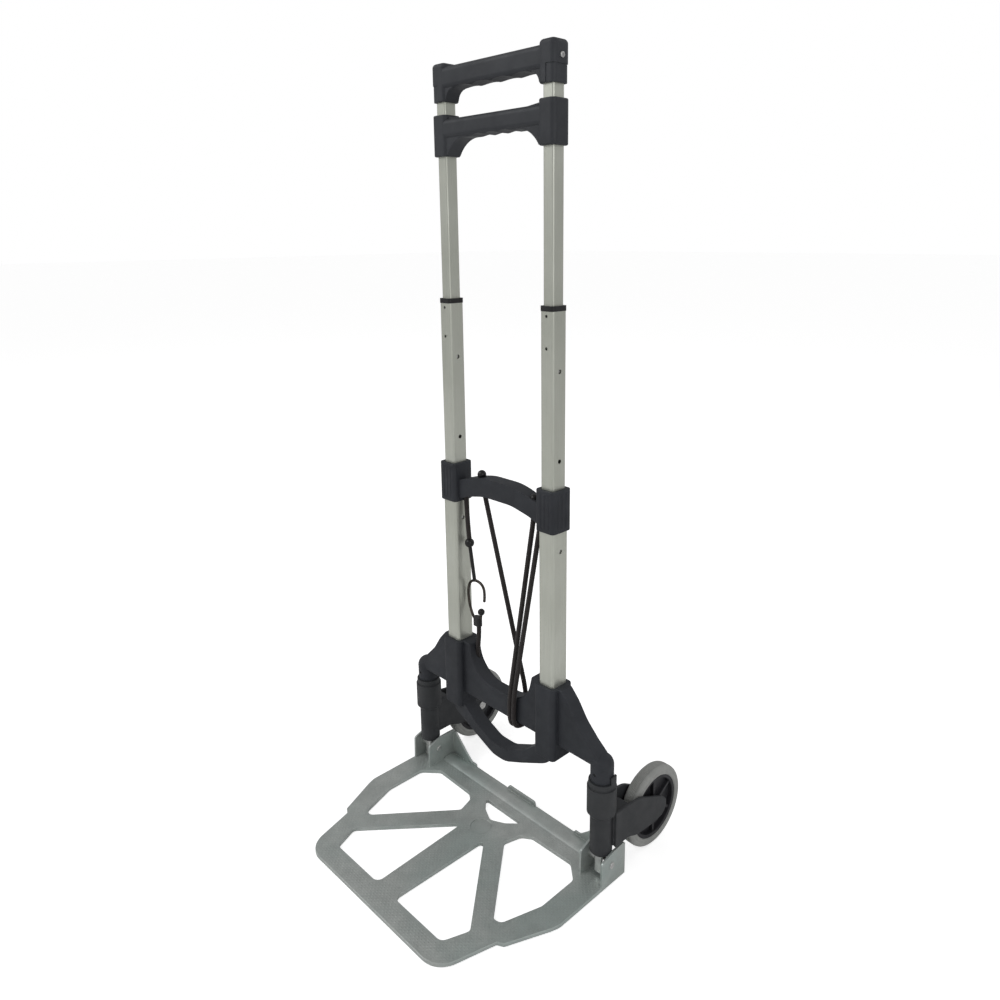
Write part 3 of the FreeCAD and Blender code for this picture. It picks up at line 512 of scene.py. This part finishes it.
def lathe(name, centre, section, steps):
    """Turns a section round an axle that runs along X. The ring is closed along its inner face too."""
    made = bmesh.new()
    rings = []
    for i in range(steps):
        angle = 2 * math.pi * i / steps
        rings.append([made.verts.new(centre + Vector((x, r * math.cos(angle), r * math.sin(angle))))
                      for x, r in section])
    for i in range(steps):
        first, second = rings[i], rings[(i + 1) % steps]
        for j in range(len(section)):
            k = (j + 1) % len(section)
            made.faces.new((first[j], first[k], second[k], second[j]))
    bmesh.ops.recalc_face_normals(made, faces=made.faces)
    for face in made.faces:
        face.smooth = True
    mesh = bpy.data.meshes.new(name)
    made.to_mesh(mesh)
    made.free()
    piece = bpy.data.objects.new(name, mesh)
    bpy.context.scene.collection.objects.link(piece)
    return piece


for side in ("right", "left"):
    low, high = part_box("tyre_" + side)
    centre, size = (low + high) / 2, high - low
    hub_low, hub_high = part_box("wheel_hub_" + side)
    section = tyre_section(size.x, size.z / 2, (hub_high.z - hub_low.z) / 2)
    tyre = lathe("grooved_tyre_" + side, centre, section, LATHE_STEPS)
    tyre.data.materials.append(tyre_finish)
    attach(tyre, "wheel_" + side)
    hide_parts("tyre_" + side)
    print(tyre.name, "faces", len(tyre.data.polygons))

# %% [markdown]
# ## The knurled toe plate
# The upper face of the plate is knurled, so that a box doesn't slide on it. The knurl is a lattice of tiny
# pyramids, thousands of them, which is work for Geometry Nodes. A grid of points is laid over the plate and
# each point looks straight down. It is kept only where it and four places round it all find the flat
# upper face, so that no pyramid hangs over an edge or a cut-out. Every point left gets one pyramid.

# %% Knurl
KNURL_PITCH = 0.0042
KNURL_WIDTH = 0.0030
KNURL_HEIGHT = 0.00035
KNURL_TIP = 0.0002
KNURL_MARGIN = 0.0028
HINGE_STRIP = 0.030
RAY_START = 0.004


def found_top(tree, plate, place, shift, height):
    """True where a ray that starts beside a point meets the flat upper face at its height."""
    start = add_node(tree, "ShaderNodeVectorMath", {"operation": "ADD"}, _0=place,
                     _1=(*shift, RAY_START)).outputs[0]
    ray = add_node(tree, "GeometryNodeRaycast", _0=plate, Source_Position=start,
                   Ray_Direction=(0, 0, -1), Ray_Length=5 * RAY_START)
    level = tree.nodes.new("ShaderNodeSeparateXYZ")
    tree.links.new(ray.outputs["Hit Position"], level.inputs[0])
    same = add_node(tree, "FunctionNodeCompare", {"data_type": "FLOAT", "operation": "EQUAL"},
                    _0=level.outputs[2], _1=height, Epsilon=0.0001)
    return add_node(tree, "FunctionNodeBooleanMath", {"operation": "AND"},
                    _0=ray.outputs[0], _1=same.outputs[0]).outputs[0]


def knurl_tree(plate, area_low, area_high, height):
    tree = bpy.data.node_groups.new("knurl", "GeometryNodeTree")
    tree.interface.new_socket("Geometry", in_out="INPUT", socket_type="NodeSocketGeometry")
    for label in ("Pitch", "Radius", "Height"):
        tree.interface.new_socket(label, in_out="INPUT", socket_type="NodeSocketFloat")
    tree.interface.new_socket("Finish", in_out="INPUT", socket_type="NodeSocketMaterial")
    tree.interface.new_socket("Geometry", in_out="OUTPUT", socket_type="NodeSocketGeometry")
    given = tree.nodes.new("NodeGroupInput").outputs
    size = area_high - area_low
    diagonal = max(size.x, size.y) * 1.5
    count = int(diagonal / KNURL_PITCH)
    span = times(tree, given["Pitch"], count)
    grid = add_node(tree, "GeometryNodeMeshGrid", Size_X=span, Size_Y=span,
                    Vertices_X=count + 1, Vertices_Y=count + 1)
    middle = (area_low + area_high) / 2
    turned = add_node(tree, "GeometryNodeTransform", _0=grid.outputs[0],
                      Translation=(middle.x, middle.y, height), Rotation=(0, 0, math.radians(45)))
    source = add_node(tree, "GeometryNodeObjectInfo", _0=plate).outputs["Geometry"]
    place = tree.nodes.new("GeometryNodeInputPosition").outputs[0]
    keep = None
    for shift in ((0, 0), (KNURL_MARGIN, 0), (-KNURL_MARGIN, 0), (0, KNURL_MARGIN), (0, -KNURL_MARGIN)):
        found = found_top(tree, source, place, shift, height)
        if keep is not None:
            found = add_node(tree, "FunctionNodeBooleanMath", {"operation": "AND"}, _0=keep,
                             _1=found).outputs[0]
        keep = found
    stud = add_node(tree, "GeometryNodeMeshCone", {"fill_type": "NONE"}, Vertices=4,
                    Radius_Top=KNURL_TIP, Radius_Bottom=given["Radius"], Depth=given["Height"])
    spots = add_node(tree, "GeometryNodeInstanceOnPoints", Points=turned.outputs[0], Selection=keep,
                     Instance=stud.outputs[0])
    real = add_node(tree, "GeometryNodeRealizeInstances", _0=spots.outputs[0])
    coated = add_node(tree, "GeometryNodeSetMaterial", _0=real.outputs[0], Material=given["Finish"])
    tree.links.new(coated.outputs[0], tree.nodes.new("NodeGroupOutput").inputs[0])
    return tree


def grown(name, tree, values):
    """Runs a node tree on an empty mesh and returns what it makes as a plain mesh object."""
    holder = bpy.data.objects.new(name + "_source", bpy.data.meshes.new(name + "_source"))
    bpy.context.scene.collection.objects.link(holder)
    modifier = holder.modifiers.new("grow", "NODES")
    modifier.node_group = tree
    for item in tree.interface.items_tree:
        if item.in_out == "INPUT" and item.name in values:
            modifier[item.identifier] = values[item.name]
    bpy.context.view_layer.update()
    seen = bpy.context.evaluated_depsgraph_get()
    mesh = bpy.data.meshes.new_from_object(holder.evaluated_get(seen))
    bpy.data.objects.remove(holder)
    piece = bpy.data.objects.new(name, mesh)
    bpy.context.scene.collection.objects.link(piece)
    return piece


PLATE_THICKNESS = 0.005
plate_low, plate_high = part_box("toe_plate")
area_high = Vector((plate_high.x, plate_high.y - HINGE_STRIP, plate_high.z))
knurl = grown("plate_knurl", knurl_tree(nodes["toe_plate"], plate_low, plate_high, PLATE_THICKNESS),
              {"Pitch": KNURL_PITCH, "Radius": KNURL_WIDTH / 2, "Height": KNURL_HEIGHT,
               "Finish": plate_finish})
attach(knurl, "toe_plate_body")
print("knurl:", len(knurl.data.polygons), "faces")

# %% [markdown]
# ## The wire hook
# The hook is one length of 3.8 mm wire, bent into an open eye. A bent wire is smooth everywhere, so it
# follows a NURBS line as the cords do, but its skin is plain and its ends are rounded.

# %% Bend the hook
WIRE_RADIUS = 0.0019
HOOK_ROUTE = [(-46.5, 2, 288), (-47.5, 2, 275), (-56.5, 2, 270.5), (-66.5, 2, 281), (-73.2, 2, 306),
              (-70, 2, 325.5), (-57, 2, 333), (-42, 2, 329.5), (-38.3, 2, 317), (-40, 2, 305)]


def make_hook():
    line, length = evenly(smooth_line(on_legs(HOOK_ROUTE)), 0.0008)

    def skin(walked, angle):
        nearest = min(walked, length - walked)
        if nearest >= WIRE_RADIUS:
            return WIRE_RADIUS
        return max(0.0002, math.sqrt(max(0.0, WIRE_RADIUS ** 2 - (WIRE_RADIUS - nearest) ** 2)))

    piece = tube_mesh("bent_wire_hook", line, skin, 20)
    piece.data.materials.append(wire_finish)
    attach(piece, "base_frame")
    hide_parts("wire_hook")
    print("hook wire length", round(length, 4), "m")


make_hook()

# %% [markdown]
# ## Floor and light
# A plain pale floor and soft light from above show the dark plastic without hard shadows. A large panel
# above and to the left gives the long soft highlights on the tubes, and a weaker one fills the right side.

# %% Floor and lights
FLOOR_GLOW = 0.62


def make_floor():
    mesh = bpy.data.meshes.new("floor")
    half = 30.0
    mesh.from_pydata([(-half, -half, 0), (half, -half, 0), (half, half, 0), (-half, half, 0)], [],
                     [(0, 1, 2, 3)])
    floor = bpy.data.objects.new("floor", mesh)
    floor.location.z = -0.0005
    material, tree, shader, place = begin("pale_floor")
    shader.inputs["Base Color"].default_value = (0.90, 0.90, 0.90, 1)
    shader.inputs["Roughness"].default_value = 0.9
    shader.inputs["Emission Color"].default_value = (1, 1, 1, 1)
    seen = tree.nodes.new("ShaderNodeLightPath").outputs["Is Camera Ray"]
    tree.links.new(times(tree, seen, FLOOR_GLOW), shader.inputs["Emission Strength"])
    mesh.materials.append(material)
    bpy.context.scene.collection.objects.link(floor)


def make_panel(name, place, target, size, power):
    data = bpy.data.lights.new(name, "AREA")
    data.shape = "RECTANGLE"
    data.size, data.size_y = size
    data.energy = power
    panel = bpy.data.objects.new(name, data)
    panel.location = place
    panel.rotation_mode = "QUATERNION"
    panel.rotation_quaternion = (Vector(target) - Vector(place)).to_track_quat("-Z", "Y")
    bpy.context.scene.collection.objects.link(panel)


def make_sky(strength):
    """An even surround. It is drawn white behind the cart, and lights it less than that."""
    world = bpy.data.worlds.new("studio")
    world.use_nodes = True
    tree = world.node_tree
    backdrop = tree.nodes["Background"]
    backdrop.inputs[0].default_value = (1.0, 1.0, 1.0, 1)
    seen = tree.nodes.new("ShaderNodeLightPath").outputs["Is Camera Ray"]
    level = node(tree, "MapRange", _0=seen, _1=0.0, _2=1.0, _3=strength, _4=1.0).outputs[0]
    tree.links.new(level, backdrop.inputs[1])
    bpy.context.scene.world = world


make_floor()
make_sky(0.40)
make_panel("key_panel", (-1.3, -1.9, 2.4), (0, 0, 0.4), (1.8, 1.8), 32)
make_panel("fill_panel", (2.4, -0.6, 1.5), (0, 0, 0.4), (1.6, 1.6), 15)
make_panel("back_panel", (0.6, 2.4, 2.0), (0, 0, 0.4), (1.8, 1.2), 7)
bpy.context.scene.view_settings.view_transform = "Standard"
print("lights: 3 panels and a white surround")
